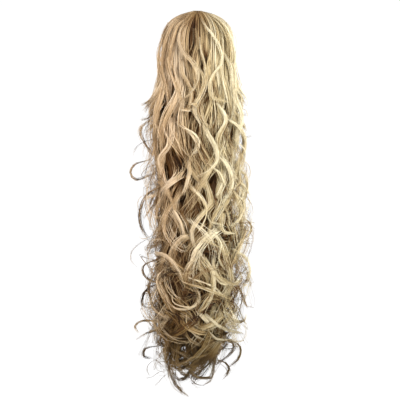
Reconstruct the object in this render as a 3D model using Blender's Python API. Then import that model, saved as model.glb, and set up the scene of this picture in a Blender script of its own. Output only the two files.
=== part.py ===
"""A long curly ponytail hairpiece on a claw clip, shaped as it hangs when worn.

The wearer faces +Y, so a viewer behind the head looks along +Y and sees the hair.
The origin is the middle of the space that the clip's jaws close on. Left and right
are the viewer's, -X and +X. A turn is the angle round the hair from the viewer's
side, 0 at -Y, positive towards +X.
"""

import math

import bmesh
import bpy
from mathutils import Vector

# The claw clip: two curved jaws with fingers, a hinge barrel and two squeeze tabs.
CLIP_LENGTH = 0.072
JAW_RADIUS = 0.0268
JAW_WALL = 0.0024
JAW_CENTRE_Y = -0.002
JAW_END_TURN = math.radians(148)
FINGER_ROOT_TURN = math.radians(74)
JAW_STEPS = 16
FINGERS = 5
FINGER_WIDTH = 0.0092
BARREL_RADIUS = 0.0045
BARREL_LENGTH = 0.040
TAB_LENGTH = 0.015
TAB_WIDTH = 0.030
TAB_WALL = 0.0024
TAB_SPREAD = math.radians(30)

# The gap that neighbouring pieces keep, and the gap at the parting.
SEAT_GAP = 0.0004
PARTING_GAP = 0.0008

# The crown: the short top layer, a dome with a parting that flares as it falls.
CROWN_TOP = 0.0525
CROWN_HALF_WIDTH = 0.064
CROWN_FRONT = 0.062
CROWN_BACK = 0.034
DOME_POWER = 2.4
PARTING_FRONT = 0.030
PARTING_BACK = 0.012
FLARE = 0.34
FLARE_DEPTH = 0.125
FLARE_POWER = 1.6
CROWN_WALL = 0.010
CROWN_HEM = -0.094
CROWN_BACK_TURN = math.radians(126)
CROWN_DOME_STEPS = 5
CROWN_SKIRT_STEPS = 4
CROWN_TURN_STEPS = 14
CROWN_RELIEF = 0.0024
CROWN_RIDGES = 10
CROWN_SCALLOP = 0.22

# The weft bundle round the clip ends in a flat face that the long fall meets.
BUNDLE_BASE = -0.045

# The long fall under the crown, by its core: height, half-widths left and right of
# the origin, and depths in front of and behind it.
FALL_SECTIONS = (
    # height, left, right, front, back
    (-0.140, 0.079, 0.074, 0.060, 0.028),
    (-0.200, 0.076, 0.072, 0.060, 0.032),
    (-0.260, 0.076, 0.074, 0.060, 0.034),
    (-0.330, 0.073, 0.076, 0.059, 0.035),
    (-0.400, 0.071, 0.074, 0.058, 0.035),
    (-0.460, 0.072, 0.066, 0.054, 0.032),
    (-0.515, 0.070, 0.057, 0.048, 0.027),
    (-0.550, 0.058, 0.043, 0.040, 0.021),
    (-0.580, 0.046, 0.024, 0.028, 0.012),
    (-0.602, 0.032, -0.006, 0.014, -0.002),
)
FALL_RINGS = 24
FALL_TURNS = 22

# Waves pressed into the fall's core between its separate locks.
RELIEF = 0.0055
RELIEF_RIDGES = 6
RELIEF_SWAY = 1.6
RELIEF_PITCH = 0.115
RELIEF_START = -0.105
RELIEF_FULL = -0.150

# Locks of the crown: turn at the parting and at the tip in degrees, tip height, half
# width, sideways wave and how far the tip flicks out.
CROWN_LOCKS = (
    # turn, tip turn, tip height, half width, wave, flick
    (-12, -21, -0.128, 0.0095, 0.0050, 0.003),
    (-33, -27, -0.140, 0.0105, 0.0045, 0.002),
    (-54, -57, -0.126, 0.0100, 0.0040, 0.004),
    (-75, -80, -0.134, 0.0100, 0.0035, 0.014),
    (-95, -93, -0.148, 0.0095, 0.0035, 0.008),
    (-114, -112, -0.130, 0.0080, 0.0030, 0.005),
    (12, 7, -0.118, 0.0090, 0.0055, 0.003),
    (31, 40, -0.132, 0.0105, 0.0050, 0.004),
    (53, 51, -0.142, 0.0100, 0.0040, 0.002),
    (75, 80, -0.128, 0.0100, 0.0035, 0.011),
    (95, 93, -0.146, 0.0095, 0.0035, 0.006),
    (114, 116, -0.130, 0.0080, 0.0030, 0.005),
)
CROWN_LOCK_STEPS = 9
CROWN_LOCK_START = 0.030
CROWN_LOCK_PITCH = 0.085

# Locks of the long fall. Each leaves the core, swings in waves round its own line and
# ends in a point. Turns are in degrees, sizes in metres.
FALL_LOCKS = (
    # turn, tip turn, start, tip height, half width, wave, pitch, phase, flick
    (2, 10, -0.138, -0.330, 0.0120, 0.013, 0.120, 40, 0.003),
    (30, 14, -0.132, -0.380, 0.0120, 0.014, 0.118, 200, 0.003),
    (-30, -20, -0.136, -0.400, 0.0120, 0.014, 0.112, 110, 0.003),
    (56, 44, -0.136, -0.410, 0.0110, 0.013, 0.108, 20, 0.003),
    (-58, -62, -0.130, -0.300, 0.0110, 0.012, 0.100, 250, 0.005),
    (80, 84, -0.134, -0.340, 0.0100, 0.012, 0.095, 150, 0.014),
    (-84, -88, -0.140, -0.262, 0.0095, 0.016, 0.080, 60, 0.030),
    (-92, -86, -0.225, -0.398, 0.0095, 0.013, 0.090, 300, 0.026),
    (0, -16, -0.310, -0.500, 0.0120, 0.016, 0.092, 130, 0.004),
    (26, 50, -0.310, -0.470, 0.0115, 0.016, 0.090, 310, 0.008),
    (-42, -30, -0.320, -0.520, 0.0115, 0.016, 0.086, 0, 0.004),
    (72, 78, -0.320, -0.476, 0.0105, 0.014, 0.084, 90, 0.012),
    (-72, -84, -0.370, -0.524, 0.0105, 0.014, 0.082, 160, 0.020),
    (-8, 4, -0.460, -0.606, 0.0100, 0.012, 0.078, 70, 0.002),
    (36, 40, -0.440, -0.590, 0.0105, 0.014, 0.076, 220, 0.006),
    (-36, -30, -0.480, -0.624, 0.0105, 0.009, 0.110, 20, -0.004),
    (76, 70, -0.425, -0.548, 0.0100, 0.014, 0.074, 330, 0.022),
    (-66, -76, -0.460, -0.582, 0.0100, 0.013, 0.074, 240, 0.010),
    (120, 128, -0.140, -0.350, 0.0120, 0.012, 0.110, 30, 0.003),
    (164, 172, -0.110, -0.400, 0.0120, 0.012, 0.115, 170, 0.003),
    (-146, -152, -0.110, -0.370, 0.0120, 0.012, 0.112, 280, 0.003),
    (-112, -108, -0.150, -0.330, 0.0110, 0.012, 0.100, 40, 0.005),
    (116, 118, -0.340, -0.540, 0.0115, 0.014, 0.088, 60, 0.006),
    (156, 164, -0.360, -0.578, 0.0115, 0.014, 0.084, 200, 0.003),
    (-168, -160, -0.350, -0.596, 0.0115, 0.012, 0.086, 330, 0.002),
    (-122, -118, -0.320, -0.552, 0.0115, 0.014, 0.086, 110, 0.006),
)
LOCK_SIDES = 5
LOCK_THINNESS = 0.5
LOCK_POINTS_PER_WAVE = 5
LOCK_ROOT_SINK = 0.010
LOCK_RIDE = 0.002
LOCK_DEPTH_WAVE = 0.5
FAR = 0.3

HAIR_FINISHES = {
    "weft_bundle": (0.30, 0.20, 0.11),
    "crown_left": (0.66, 0.52, 0.34),
    "crown_right": (0.76, 0.63, 0.41),
    "long_fall": (0.50, 0.37, 0.21),
}
CLIP_COLOUR = (0.03, 0.022, 0.018)


def clear_scene():
    for old in list(bpy.data.objects):
        bpy.data.objects.remove(old)


def finish(name, colour, roughness, metallic=0.0):
    """A Principled material with the piece's own colour."""
    made = bpy.data.materials.new(name + "_finish")
    made.use_nodes = True
    shader = made.node_tree.nodes["Principled BSDF"]
    shader.inputs["Base Color"].default_value = (*colour, 1.0)
    shader.inputs["Roughness"].default_value = roughness
    shader.inputs["Metallic"].default_value = metallic
    return made


def mesh_object(name, points, faces, collection=None):
    """A closed mesh as an object, with its faces pointing out."""
    shell = bmesh.new()
    corners = [shell.verts.new(p) for p in points]
    for face in faces:
        shell.faces.new([corners[i] for i in face])
    bmesh.ops.recalc_face_normals(shell, faces=shell.faces)
    mesh = bpy.data.meshes.new(name)
    shell.to_mesh(mesh)
    shell.free()
    made = bpy.data.objects.new(name, mesh)
    (collection or bpy.context.scene.collection).objects.link(made)
    return made


def hide_as_tool(tool):
    """Marks an object that only cuts or joins others."""
    tool.hide_render = True
    tool.display_type = "WIRE"
    return tool


def boolean(body, operation, tool=None, collection=None):
    step = body.modifiers.new(operation.lower(), "BOOLEAN")
    step.operation = operation
    step.solver = "EXACT"
    if collection:
        step.operand_type = "COLLECTION"
        step.collection = collection
    else:
        step.object = hide_as_tool(tool)
    return step


def keep_outer_shell(body):
    """Applies the body's modifiers and fills any hollow that joined locks seal off."""
    graph = bpy.context.evaluated_depsgraph_get()
    mesh = bpy.data.meshes.new_from_object(body.evaluated_get(graph))
    body.modifiers.clear()
    shell = bmesh.new()
    shell.from_mesh(mesh)
    bmesh.ops.triangulate(shell, faces=shell.faces[:])
    seen = set()
    islands = []
    for first in shell.faces:
        if first in seen:
            continue
        seen.add(first)
        island = [first]
        for face in island:
            near = {f for edge in face.edges for f in edge.link_faces} - seen
            seen |= near
            island += near
        volume = 0.0
        for face in island:
            a, b, c = (v.co for v in face.verts)
            volume += a.dot(b.cross(c))
        islands.append((volume, island))
    islands.sort(key=lambda entry: entry[0])
    for volume, island in islands[:-1]:
        bmesh.ops.delete(shell, geom=island, context="FACES")
    shell.to_mesh(mesh)
    shell.free()
    body.data = mesh


def smooth_share(value, start, end):
    """0 before start, 1 after end, and a smooth step between."""
    t = min(max((value - start) / (end - start), 0.0), 1.0)
    return t * t * (3 - 2 * t)


# Outline of the hair at a height

def crown_outline(z, inset):
    """Half-widths left and right and depths front and back of the crown at height z."""
    dome = 1.0
    flare = 0.0
    if z > 0:
        rise = min(z / (CROWN_TOP - inset), 1.0)
        dome = (1 - rise**DOME_POWER) ** (1 / DOME_POWER)
    else:
        flare = FLARE * (-z / FLARE_DEPTH) ** FLARE_POWER
    side = (CROWN_HALF_WIDTH * (1 + flare) - inset) * dome
    front = PARTING_FRONT + (CROWN_FRONT * (1 + flare / 3) - inset - PARTING_FRONT) * dome
    back = PARTING_BACK + (CROWN_BACK - inset - PARTING_BACK) * dome
    return side, side, front, back


def fall_outline(z):
    """Half-widths and depths of the long fall's core at height z."""
    inset = CROWN_WALL + SEAT_GAP
    if z >= CROWN_HEM:
        return crown_outline(z, inset)
    rows = ((CROWN_HEM, *crown_outline(CROWN_HEM, inset)), *FALL_SECTIONS)
    for upper, lower in zip(rows, rows[1:]):
        if z >= lower[0]:
            share = (z - upper[0]) / (lower[0] - upper[0])
            return tuple(a + (b - a) * share for a, b in zip(upper[1:], lower[1:]))
    return rows[-1][1:]


def ring_point(outline, turn, z, proud=0.0):
    """The point of an oval outline at a turn, pushed out by proud."""
    left, right, front, back = outline
    return Vector((
        (right - left) / 2 + ((left + right) / 2 + proud) * math.sin(turn),
        (back - front) / 2 - ((front + back) / 2 + proud) * math.cos(turn),
        z,
    ))


# Building blocks

def grid_triangles(rows, columns, start=0, closed=False):
    """Triangles over a grid of points, all cut along the same diagonal."""
    faces = []
    for r in range(rows - 1):
        for c in range(columns if closed else columns - 1):
            a = start + r * columns + c
            b = start + r * columns + (c + 1) % columns
            d, e = a + columns, b + columns
            faces += [(a, b, e), (a, e, d)]
    return faces


def loft(name, rings, collection=None):
    """A closed solid through rings of equal numbers of points, with flat ends."""
    count = len(rings[0])
    points = [p for ring in rings for p in ring]
    faces = grid_triangles(len(rings), count, closed=True)
    faces.append(tuple(range(count)))
    faces.append(tuple(range(len(points) - count, len(points))))
    return mesh_object(name, points, faces, collection)


def thick_sheet(name, outer, inner, present=None, collection=None):
    """A wall between two grids of points. present says which cells have material."""
    rows, columns = len(outer), len(outer[0])
    present = present or (lambda r, c: True)
    points = [p for row in outer for p in row] + [p for row in inner for p in row]
    back = rows * columns
    faces = []

    def there(r, c):
        return 0 <= r < rows - 1 and 0 <= c < columns - 1 and present(r, c)

    for r in range(rows - 1):
        for c in range(columns - 1):
            if not there(r, c):
                continue
            a, b = r * columns + c, r * columns + c + 1
            d, e = a + columns, b + columns
            faces += [(a, b, e), (a, e, d)]
            faces += [(a + back, b + back, e + back), (a + back, e + back, d + back)]
            edges = ((a, b, r - 1, c), (d, e, r + 1, c), (a, d, r, c - 1), (b, e, r, c + 1))
            for p, q, near_r, near_c in edges:
                if not there(near_r, near_c):
                    faces += [(p, q, q + back), (p, q + back, p + back)]
    used = sorted({i for face in faces for i in face})
    place = {old: new for new, old in enumerate(used)}
    faces = [tuple(place[i] for i in face) for face in faces]
    return mesh_object(name, [points[i] for i in used], faces, collection)


def lock(name, path, outward, half_width, collection):
    """A flattened tapering lock along a path, blunt at its root and pointed at its tip.

    outward holds the direction away from the head at each point of the path.
    """
    rings = []
    last = len(path) - 1
    for i, (place, away) in enumerate(zip(path[:-1], outward)):
        along = (path[min(i + 1, last)] - path[max(i - 1, 0)]).normalized()
        across = along.cross(away).normalized()
        normal = across.cross(along).normalized()
        t = i / last
        swell = 0.72 + 0.28 * smooth_share(t, 0, 0.35) - 0.72 * smooth_share(t, 0.55, 1.0)
        half = half_width * swell
        ring = []
        for k in range(LOCK_SIDES):
            angle = 2 * math.pi * (k + 0.5) / LOCK_SIDES
            ring.append(
                place
                + across * half * math.cos(angle)
                + normal * half * LOCK_THINNESS * math.sin(angle)
            )
        rings.append(ring)
    points = [p for ring in rings for p in ring] + [path[-1]]
    faces = grid_triangles(len(rings), LOCK_SIDES, closed=True)
    faces.append(tuple(range(LOCK_SIDES)))
    end = (len(rings) - 1) * LOCK_SIDES
    tip = len(points) - 1
    faces += [(end + k, end + (k + 1) % LOCK_SIDES, tip) for k in range(LOCK_SIDES)]
    return hide_as_tool(mesh_object(name, points, faces, collection))


def new_collection(name):
    made = bpy.data.collections.new(name)
    bpy.context.scene.collection.children.link(made)
    return made


def box(name, low, high, collection=None):
    plan = [(low[0], low[1]), (high[0], low[1]), (high[0], high[1]), (low[0], high[1])]
    return loft(name, [[Vector((x, y, z)) for x, y in plan] for z in (low[2], high[2])], collection)


# The claw clip, one plain piece

def jaw_point(radius, turn, z):
    return Vector((radius * math.sin(turn), JAW_CENTRE_Y - radius * math.cos(turn), z))


def clip_bands():
    """Heights of the edges of the fingers and of the gaps between them, from below."""
    gap = (CLIP_LENGTH - FINGERS * FINGER_WIDTH) / (FINGERS - 1)
    heights = [-CLIP_LENGTH / 2]
    for i in range(2 * FINGERS - 1):
        heights.append(heights[-1] + (FINGER_WIDTH if i % 2 == 0 else gap))
    return heights


def tab_outline(side, grow=0.0):
    """Plan of one squeeze tab, from the barrel outwards."""
    root = Vector((0.0, JAW_CENTRE_Y - JAW_RADIUS))
    way = Vector((side * math.sin(TAB_SPREAD), -math.cos(TAB_SPREAD)))
    across = Vector((way.y, -way.x)) * (TAB_WALL / 2 + grow)
    end = root + way * (TAB_LENGTH + BARREL_RADIUS / 2 + grow)
    return [root - across, root + across, end + across, end - across]


def prism(name, plan, low, high, collection=None):
    rings = [[Vector((p.x, p.y, z)) for p in plan] for z in (low, high)]
    return loft(name, rings, collection)


def make_clip():
    heights = clip_bands()
    turns = [JAW_END_TURN * (2 * i / JAW_STEPS - 1) for i in range(JAW_STEPS + 1)]
    outer = [[jaw_point(JAW_RADIUS + JAW_WALL / 2, t, z) for t in turns] for z in heights]
    inner = [[jaw_point(JAW_RADIUS - JAW_WALL / 2, t, z) for t in turns] for z in heights]

    def present(row, column):
        middle = abs(turns[column] + turns[column + 1]) / 2
        return row % 2 == 0 or middle < FINGER_ROOT_TURN

    clip = thick_sheet("claw_clip", outer, inner, present)
    tools = new_collection("clip_tools")
    sides = 10
    barrel = [
        Vector((BARREL_RADIUS * math.cos(2 * math.pi * k / sides),
                JAW_CENTRE_Y - JAW_RADIUS + BARREL_RADIUS * math.sin(2 * math.pi * k / sides)))
        for k in range(sides)
    ]
    hide_as_tool(prism("clip_barrel", barrel, -BARREL_LENGTH / 2, BARREL_LENGTH / 2, tools))
    for side in (-1, 1):
        hide_as_tool(prism(f"clip_tab_{side + 1}", tab_outline(side),
                           -TAB_WIDTH / 2, TAB_WIDTH / 2, tools))
    boolean(clip, "UNION", collection=tools)
    clip.data.materials.append(finish("claw_clip", CLIP_COLOUR, 0.35))
    return clip


# The weft bundle, the hair's sewn roots wrapped round the clip

def dome_shares():
    """Heights of the dome's rows as shares of its top, from the parting down."""
    angles = [math.radians(90) * i / CROWN_DOME_STEPS for i in range(CROWN_DOME_STEPS)]
    return [math.cos(a) ** (2 / DOME_POWER) for a in angles]


def mirrored_plan(half_plan):
    """A plan outline from its right half, whose last point may lie on the middle line."""
    left_half = [Vector((-x, y)) for x, y in reversed(half_plan) if x > 0]
    return [Vector(p) for p in half_plan] + left_half


def make_weft_bundle():
    inset = CROWN_WALL + SEAT_GAP
    turns = [2 * math.pi * i / FALL_TURNS for i in range(FALL_TURNS)]
    heights = [share * (CROWN_TOP - inset) for share in dome_shares()[1:]]
    heights += [0.0, BUNDLE_BASE / 2, BUNDLE_BASE]
    rings = [[ring_point(crown_outline(z, inset), t, z) for t in turns] for z in heights]
    bundle = loft("weft_bundle", rings)

    tools = new_collection("bundle_tools")
    reach = (JAW_RADIUS + JAW_WALL / 2 + SEAT_GAP) / math.cos(math.pi / (2 * JAW_STEPS))
    quarter = [math.radians(90) * (1 - 2 * i / JAW_STEPS) for i in range(JAW_STEPS // 2 + 1)]
    arc = [(reach * math.sin(t), JAW_CENTRE_Y - reach * math.cos(t)) for t in quarter]
    plan = mirrored_plan([(reach, FAR)] + arc)
    half = CLIP_LENGTH / 2 + SEAT_GAP
    hide_as_tool(prism("jaw_space", plan, -half, half, tools))

    hinge_y = JAW_CENTRE_Y - JAW_RADIUS
    side = BARREL_RADIUS + SEAT_GAP
    plan = mirrored_plan([(side, JAW_CENTRE_Y), (side, hinge_y - side)])
    half = BARREL_LENGTH / 2 + SEAT_GAP
    hide_as_tool(prism("barrel_space", plan, -half, half, tools))

    tip_x = (TAB_LENGTH + BARREL_RADIUS) * math.sin(TAB_SPREAD) + TAB_WALL
    tip_y = hinge_y - (TAB_LENGTH + BARREL_RADIUS) * math.cos(TAB_SPREAD)
    plan = mirrored_plan([(side, JAW_CENTRE_Y), (side, hinge_y), (tip_x, tip_y)])
    half = TAB_WIDTH / 2 + SEAT_GAP
    hide_as_tool(prism("tab_space", plan, -half, half, tools))
    boolean(bundle, "DIFFERENCE", collection=tools)
    bundle.data.materials.append(finish("weft_bundle", HAIR_FINISHES["weft_bundle"], 0.6))
    return bundle


# The crown, a left and a right layer that meet at the parting

def crown_point(turn, level, inset):
    """A point of the crown's surface. A level is a share of the dome or a height below it."""
    ridge = math.cos(CROWN_RIDGES * turn)
    height = level * (CROWN_TOP - inset)
    if level < 0:
        height = level * (1 - CROWN_SCALLOP * (1 - ridge) / 2)
    swell = 0.0
    if not inset:
        swell = CROWN_RELIEF * ridge * (1 - smooth_share(height, 0.0, 0.8 * CROWN_TOP))
    return ring_point(crown_outline(height, inset), turn, height, swell)


def crown_lock(name, row, tools):
    turn, tip_turn, tip, half_width, wave, flick = row
    path, outward = [], []
    for i in range(CROWN_LOCK_STEPS + 1):
        t = i / CROWN_LOCK_STEPS
        z = CROWN_LOCK_START + (tip - CROWN_LOCK_START) * t
        angle = math.radians(turn + (tip_turn - turn) * t)
        away = Vector((math.sin(angle), -math.cos(angle), 0.0))
        across = Vector((math.cos(angle), math.sin(angle), 0.0))
        swing = math.sin(2 * math.pi * z / CROWN_LOCK_PITCH + math.radians(turn))
        sway = wave * smooth_share(t, 0.1, 0.6) * swing
        sink = 0.5 * half_width * (1 - smooth_share(t, 0.0, 0.15))
        proud = flick * smooth_share(t, 0.7, 1.0) - 0.2 * half_width - sink
        path.append(ring_point(crown_outline(z, 0.0), angle, z, proud) + across * sway)
        outward.append(away)
    return lock(name, path, outward, half_width, tools)


def make_crown(name, side):
    levels = dome_shares() + [0.0]
    levels += [CROWN_HEM * (i + 1) / CROWN_SKIRT_STEPS for i in range(CROWN_SKIRT_STEPS)]
    turns = [side * CROWN_BACK_TURN * i / CROWN_TURN_STEPS for i in range(CROWN_TURN_STEPS + 1)]
    shift = Vector((side * PARTING_GAP / 2, 0, 0))
    outer = [[crown_point(t, level, 0.0) + shift for t in turns] for level in levels]
    inner = [[crown_point(t, level, CROWN_WALL) + shift for t in turns] for level in levels]
    sheet = thick_sheet(name, outer, inner)
    tools = new_collection(name + "_locks")
    for number, row in enumerate(r for r in CROWN_LOCKS if r[0] * side > 0):
        crown_lock(f"{name}_lock_{number}", row, tools)
    boolean(sheet, "UNION", collection=tools)
    edge = side * PARTING_GAP / 2
    low, high = sorted((edge, -side * FAR))
    boolean(sheet, "DIFFERENCE", box(name + "_parting", (low, -FAR, -FAR), (high, FAR, FAR)))
    keep_outer_shell(sheet)
    sheet.data.materials.append(finish(name, HAIR_FINISHES[name], 0.5))
    return sheet


# The long fall, the curly tresses below the clip

def fall_point(turn, z):
    """The fall's core surface with its pressed waves."""
    end = FALL_SECTIONS[-1][0]
    strength = smooth_share(z, RELIEF_START, RELIEF_FULL)
    strength *= 1 - 0.6 * smooth_share(z, 0.8 * end, end)
    sway = RELIEF_SWAY * math.sin(2 * math.pi * z / RELIEF_PITCH)
    wave = RELIEF * strength * math.cos(RELIEF_RIDGES * turn + sway)
    return ring_point(fall_outline(z), turn, z, wave)


def fall_lock(name, row, tools):
    turn, tip_turn, start, tip, half_width, wave, pitch, phase, flick = row
    steps = max(7, round(LOCK_POINTS_PER_WAVE * (start - tip) / pitch))
    path, outward = [], []
    for i in range(steps + 1):
        t = i / steps
        z = start + (tip - start) * t
        angle = math.radians(turn + (tip_turn - turn) * t)
        away = Vector((math.sin(angle), -math.cos(angle), 0.0))
        across = Vector((math.cos(angle), math.sin(angle), 0.0))
        swing = math.radians(phase) + 2 * math.pi * (start - z) / pitch
        strength = wave * smooth_share(t, 0.0, 0.3)
        sink = LOCK_ROOT_SINK * (1 - smooth_share(t, 0.0, 0.12))
        proud = LOCK_RIDE - sink + flick * smooth_share(t, 0.75, 1.0)
        proud += LOCK_DEPTH_WAVE * strength * max(math.sin(swing), -0.3)
        base = ring_point(fall_outline(z), angle, z, proud)
        path.append(base + across * strength * math.cos(swing))
        outward.append(away)
    return lock(name, path, outward, half_width, tools)


def make_long_fall():
    top = BUNDLE_BASE - SEAT_GAP
    end = FALL_SECTIONS[-1][0]
    turns = [2 * math.pi * i / FALL_TURNS for i in range(FALL_TURNS)]
    heights = [top + (end - top) * i / FALL_RINGS for i in range(FALL_RINGS + 1)]
    fall = loft("long_fall", [[fall_point(t, z) for t in turns] for z in heights])
    tools = new_collection("long_fall_locks")
    for number, row in enumerate(FALL_LOCKS):
        fall_lock(f"fall_lock_{number}", row, tools)
    boolean(fall, "UNION", collection=tools)
    keep_outer_shell(fall)
    fall.data.materials.append(finish("long_fall", HAIR_FINISHES["long_fall"], 0.5))
    return fall


clear_scene()
make_clip()
make_weft_bundle()
make_crown("crown_left", -1)
make_crown("crown_right", 1)
make_long_fall()
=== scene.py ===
"""The looks of a very long curly clip-on ponytail in mixed blonde hair fibre.

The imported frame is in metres, +Z up, with the viewer looking along +Y at the hair.
A turn is the angle round the hair from the viewer's side, 0 at -Y, positive to +X.
"""

import math
import random

import bpy
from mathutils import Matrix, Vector


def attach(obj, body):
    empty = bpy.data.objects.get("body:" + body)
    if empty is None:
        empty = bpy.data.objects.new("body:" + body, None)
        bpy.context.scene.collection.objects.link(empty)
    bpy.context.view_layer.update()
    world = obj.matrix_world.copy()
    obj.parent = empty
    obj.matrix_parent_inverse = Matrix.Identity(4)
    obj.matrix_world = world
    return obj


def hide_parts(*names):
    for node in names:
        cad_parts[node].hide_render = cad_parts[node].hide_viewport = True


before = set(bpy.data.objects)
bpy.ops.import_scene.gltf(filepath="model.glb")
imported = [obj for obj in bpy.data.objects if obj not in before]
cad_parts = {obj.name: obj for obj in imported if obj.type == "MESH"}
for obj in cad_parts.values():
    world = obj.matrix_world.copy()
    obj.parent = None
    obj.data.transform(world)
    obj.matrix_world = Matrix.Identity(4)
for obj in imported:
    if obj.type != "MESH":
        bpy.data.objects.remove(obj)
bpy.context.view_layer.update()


# The claw clip, moulded in one dark brown plastic. Its jaws grip the wearer's own hair,
# and the hair covers it, so only its fingers show from the wearer's side. Its solid keeps
# its shape and gets a worn satin gloss.

class Link:
    """An output socket of a node tree. Maths on it adds Math or Vector Math nodes."""

    def __init__(self, graph, socket):
        self.graph = graph
        self.socket = socket

    def also(self, key):
        """Another output of the same node."""
        return Link(self.graph, self.socket.node.outputs[key])

    def __add__(self, other):
        return self.graph.maths("ADD", self, other)

    def __radd__(self, other):
        return self.graph.maths("ADD", other, self)

    def __sub__(self, other):
        return self.graph.maths("SUBTRACT", self, other)

    def __rsub__(self, other):
        return self.graph.maths("SUBTRACT", other, self)

    def __mul__(self, other):
        return self.graph.maths("MULTIPLY", self, other)

    def __rmul__(self, other):
        return self.graph.maths("MULTIPLY", other, self)

    def __truediv__(self, other):
        return self.graph.maths("DIVIDE", self, other)


class Graph:
    """A node tree built by calls."""

    def __init__(self, tree):
        self.tree = tree

    def node(self, kind, settings=None, sockets=None, output=0):
        """Adds a node: its settings first, then the values or links of its sockets."""
        made = self.tree.nodes.new(kind)
        for name, value in (settings or {}).items():
            setattr(made, name, value)
        for key, value in (sockets or {}).items():
            if isinstance(value, Link):
                self.tree.links.new(value.socket, made.inputs[key])
            else:
                made.inputs[key].default_value = value
        return Link(self, made.outputs[output])

    def maths(self, operation, first, second):
        """A Math node, or a Vector Math node where either side is a vector."""
        sides = (first, second)
        vectors = [isinstance(s, Link) and s.socket.type == "VECTOR" for s in sides]
        if not any(vectors):
            return self.node("ShaderNodeMath", {"operation": operation}, {0: first, 1: second})
        if operation == "MULTIPLY" and not all(vectors):
            vector, number = sides if vectors[0] else sides[::-1]
            return self.node(
                "ShaderNodeVectorMath", {"operation": "SCALE"}, {0: vector, "Scale": number}
            )
        return self.node("ShaderNodeVectorMath", {"operation": operation}, {0: first, 1: second})

    def single(self, operation, value):
        """A Math node of one value, such as its sine, its floor or its absolute value."""
        return self.node("ShaderNodeMath", {"operation": operation}, {0: value})

    def step(self, value, start, end):
        """0 at start, 1 at end, smooth between."""
        return self.node(
            "ShaderNodeMapRange",
            {"interpolation_type": "SMOOTHSTEP"},
            {"Value": value, "From Min": start, "From Max": end},
        )

    def mix(self, share, first, second, blend="MIX"):
        """A colour between two colours."""
        settings = {"data_type": "RGBA", "blend_type": blend}
        return self.node("ShaderNodeMix", settings, {0: share, 6: first, 7: second}, output=2)


def colour(red, green, blue):
    """A linear colour from the 0 to 255 values that a screen shows."""
    def linear(value):
        share = value / 255
        return share / 12.92 if share <= 0.04045 else ((share + 0.055) / 1.055) ** 2.4
    return linear(red), linear(green), linear(blue), 1.0


def new_finish(name, roughness=0.5):
    """A new material with its graph and its shader node."""
    material = bpy.data.materials.new(name)
    material.use_nodes = True
    shader = material.node_tree.nodes["Principled BSDF"]
    shader.inputs["Roughness"].default_value = roughness
    return material, Graph(material.node_tree), shader


def connect(link, shader, socket):
    """Feeds a link to a socket of a shader node."""
    link.graph.tree.links.new(link.socket, shader.inputs[socket])


def roughen(shader, height, strength, distance):
    """Raises and lowers a surface by a height that varies over it."""
    sockets = {"Height": height, "Strength": strength, "Distance": distance}
    connect(height.graph.node("ShaderNodeBump", sockets=sockets), shader, "Normal")


CLIP_BROWN = colour(44, 30, 24)
CLIP_WORN = colour(66, 48, 39)
CLIP_MARKS = 240.0
CLIP_POLISH = 0.26
CLIP_DULLED = 0.2


def clip_plastic():
    """Dark brown plastic, paler and duller in the fine marks of wear."""
    material, graph, shader = new_finish("clip_plastic_satin")
    place = graph.node("ShaderNodeTexCoord", output="Object")
    sockets = {"Vector": place, "Scale": CLIP_MARKS, "Detail": 4.0}
    marks = graph.node("ShaderNodeTexNoise", sockets=sockets)
    wear = graph.step(marks, 0.45, 0.75)
    connect(graph.mix(wear, CLIP_BROWN, CLIP_WORN), shader, "Base Color")
    connect(CLIP_POLISH + wear * CLIP_DULLED, shader, "Roughness")
    roughen(shader, marks, strength=0.08, distance=0.0003)
    return material


def wear_finish(thing, material):
    """Puts one material on a solid in place of its own."""
    thing.data.materials.clear()
    thing.data.materials.append(material)


wear_finish(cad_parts["claw_clip"], clip_plastic())


# The weft bundle, the sewn roots of the hair wound round the clip. Its solid carries a
# streaked brown root colour inside the pocket, and combed strands lie over its outside
# and run down into the fall.

# The outlines of the crown, which lies over the bundle, and of the fall below it.
CROWN_TOP = 0.0525
CROWN_HALF_WIDTH = 0.064
CROWN_FRONT = 0.062
CROWN_BACK = 0.034
DOME_POWER = 2.4
PARTING_FRONT = 0.030
PARTING_BACK = 0.012
FLARE = 0.34
FLARE_DEPTH = 0.125
FLARE_POWER = 1.6
CROWN_WALL = 0.0104
CROWN_HEM = -0.094

FALL_SECTIONS = (
    # height, left, right, front, back
    (-0.140, 0.079, 0.074, 0.060, 0.028),
    (-0.200, 0.076, 0.072, 0.060, 0.032),
    (-0.260, 0.076, 0.074, 0.060, 0.034),
    (-0.330, 0.073, 0.076, 0.059, 0.035),
    (-0.400, 0.071, 0.074, 0.058, 0.035),
    (-0.460, 0.072, 0.066, 0.054, 0.032),
    (-0.515, 0.070, 0.057, 0.048, 0.027),
    (-0.550, 0.058, 0.043, 0.040, 0.021),
    (-0.580, 0.046, 0.024, 0.028, 0.012),
    (-0.602, 0.032, -0.006, 0.014, -0.002),
)


def smooth_share(value, start, end):
    """0 before start, 1 after end, and a smooth step between."""
    t = min(max((value - start) / (end - start), 0.0), 1.0)
    return t * t * (3 - 2 * t)


def crown_outline(z):
    """Half-widths left and right and depths front and back of the crown at height z."""
    dome = 1.0
    flare = 0.0
    if z > 0:
        dome = (1 - min(z / CROWN_TOP, 1.0) ** DOME_POWER) ** (1 / DOME_POWER)
    else:
        flare = FLARE * (-z / FLARE_DEPTH) ** FLARE_POWER
    side = CROWN_HALF_WIDTH * (1 + flare) * dome
    front = PARTING_FRONT + (CROWN_FRONT * (1 + flare / 3) - PARTING_FRONT) * dome
    back = PARTING_BACK + (CROWN_BACK - PARTING_BACK) * dome
    return side, side, front, back


def under_crown(z):
    """The outline of what lies under the crown's wall at height z."""
    return tuple(half - CROWN_WALL for half in crown_outline(z))


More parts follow.
